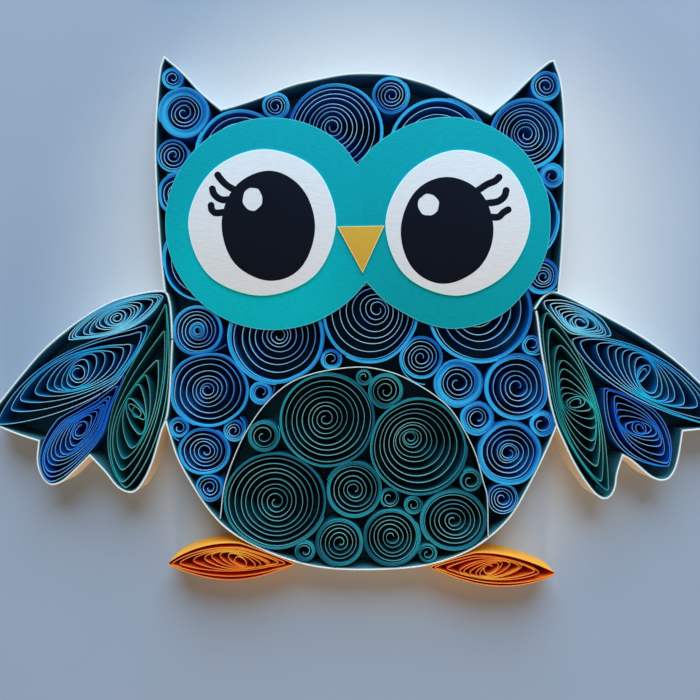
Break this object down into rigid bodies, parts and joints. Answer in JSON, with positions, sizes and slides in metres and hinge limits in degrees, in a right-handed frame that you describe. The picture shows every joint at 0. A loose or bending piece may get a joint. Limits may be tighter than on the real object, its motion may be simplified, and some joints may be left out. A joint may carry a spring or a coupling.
{
  "type": "quilled paper owl picture",
  "caption": "Quilled paper owl on a white square board: blue and teal paper rolls standing on edge inside card rims, with a card mask and eyes.",
  "frame": {"origin": "middle of the board's back face", "axes": "+Z out of the front, +Y towards the owl's ears, +X to the right as seen from the front"},
  "size_m": [0.25, 0.25, 0.0143],
  "materials": {
    "white_board": "matt white board with a faint paper tooth",
    "dark_floor_card": "matt, near black blue-green card",
    "rim_card": "matt white card, dark green on its inner face",
    "partition_paper": "matt thin strip, pale cut edge",
    "azure_paper": "matt quilling strips, azure with paler cut edges",
    "belly_teal_paper": "matt quilling strips, deep teal with paler cut edges",
    "pale_cyan_paper": "matt quilling strips, pale cyan",
    "royal_blue_paper": "matt quilling strips, royal blue",
    "green_teal_paper": "matt quilling strips, green teal",
    "orange_paper": "matt quilling strips, orange with yellow outer turns",
    "mask_card": "matt teal card with a fine grain",
    "pale_card": "matt off-white card with faint laid lines",
    "black_ink": "dry blue-black ink, matt",
    "gold_card": "matt gold-yellow card"
  },
  "bodies": {
    "root": {"mount_board": "white_board", "body_floor": "dark_floor_card", "left_wing_floor": "dark_floor_card", "right_wing_floor": "dark_floor_card", "upper_body_rim": "rim_card", "lower_body_rim": "rim_card", "left_wing_rim": "rim_card", "right_wing_rim": "rim_card", "belly_partition": "partition_paper", "left_ear_roll": "azure_paper", "left_temple_roll": "azure_paper", "left_brow_roll": "azure_paper", "crown_roll": "azure_paper", "forehead_roll": "azure_paper", "right_brow_roll": "azure_paper", "right_ear_roll": "azure_paper", "right_temple_roll": "azure_paper", "right_shoulder_roll": "azure_paper", "left_cheek_roll": "azure_paper", "left_shoulder_roll": "azure_paper", "left_flank_roll": "azure_paper", "left_breast_roll": "azure_paper", "throat_roll": "azure_paper", "right_breast_roll": "azure_paper", "lower_throat_roll": "azure_paper", "right_rib_roll": "azure_paper", "right_flank_roll": "azure_paper", "right_belly_roll": "azure_paper", "right_hip_roll": "azure_paper", "left_hip_roll": "azure_paper", "small_blue_rolls": "azure_paper", "belly_left_roll": "belly_teal_paper", "belly_top_roll": "belly_teal_paper", "belly_right_roll": "belly_teal_paper", "belly_middle_roll": "belly_teal_paper", "belly_crest_roll": "belly_teal_paper", "belly_edge_roll": "belly_teal_paper", "belly_low_right_roll": "belly_teal_paper", "belly_low_roll": "belly_teal_paper", "belly_low_left_roll": "belly_teal_paper", "small_teal_rolls": "belly_teal_paper", "left_wing_pale_leaf": "pale_cyan_paper", "left_wing_azure_leaf": "azure_paper", "left_wing_royal_leaf": "royal_blue_paper", "left_wing_teal_leaf": "green_teal_paper", "right_wing_pale_leaf": "pale_cyan_paper", "right_wing_azure_leaf": "azure_paper", "right_wing_royal_leaf": "royal_blue_paper", "right_wing_teal_leaf": "green_teal_paper", "left_foot": "orange_paper", "right_foot": "orange_paper", "mask": "mask_card", "left_eye_disc": "pale_card", "left_pupil": "black_ink", "left_lashes": "black_ink", "right_eye_disc": "pale_card", "right_pupil": "black_ink", "right_lashes": "black_ink", "beak": "gold_card"}
  },
  "joints": []
}
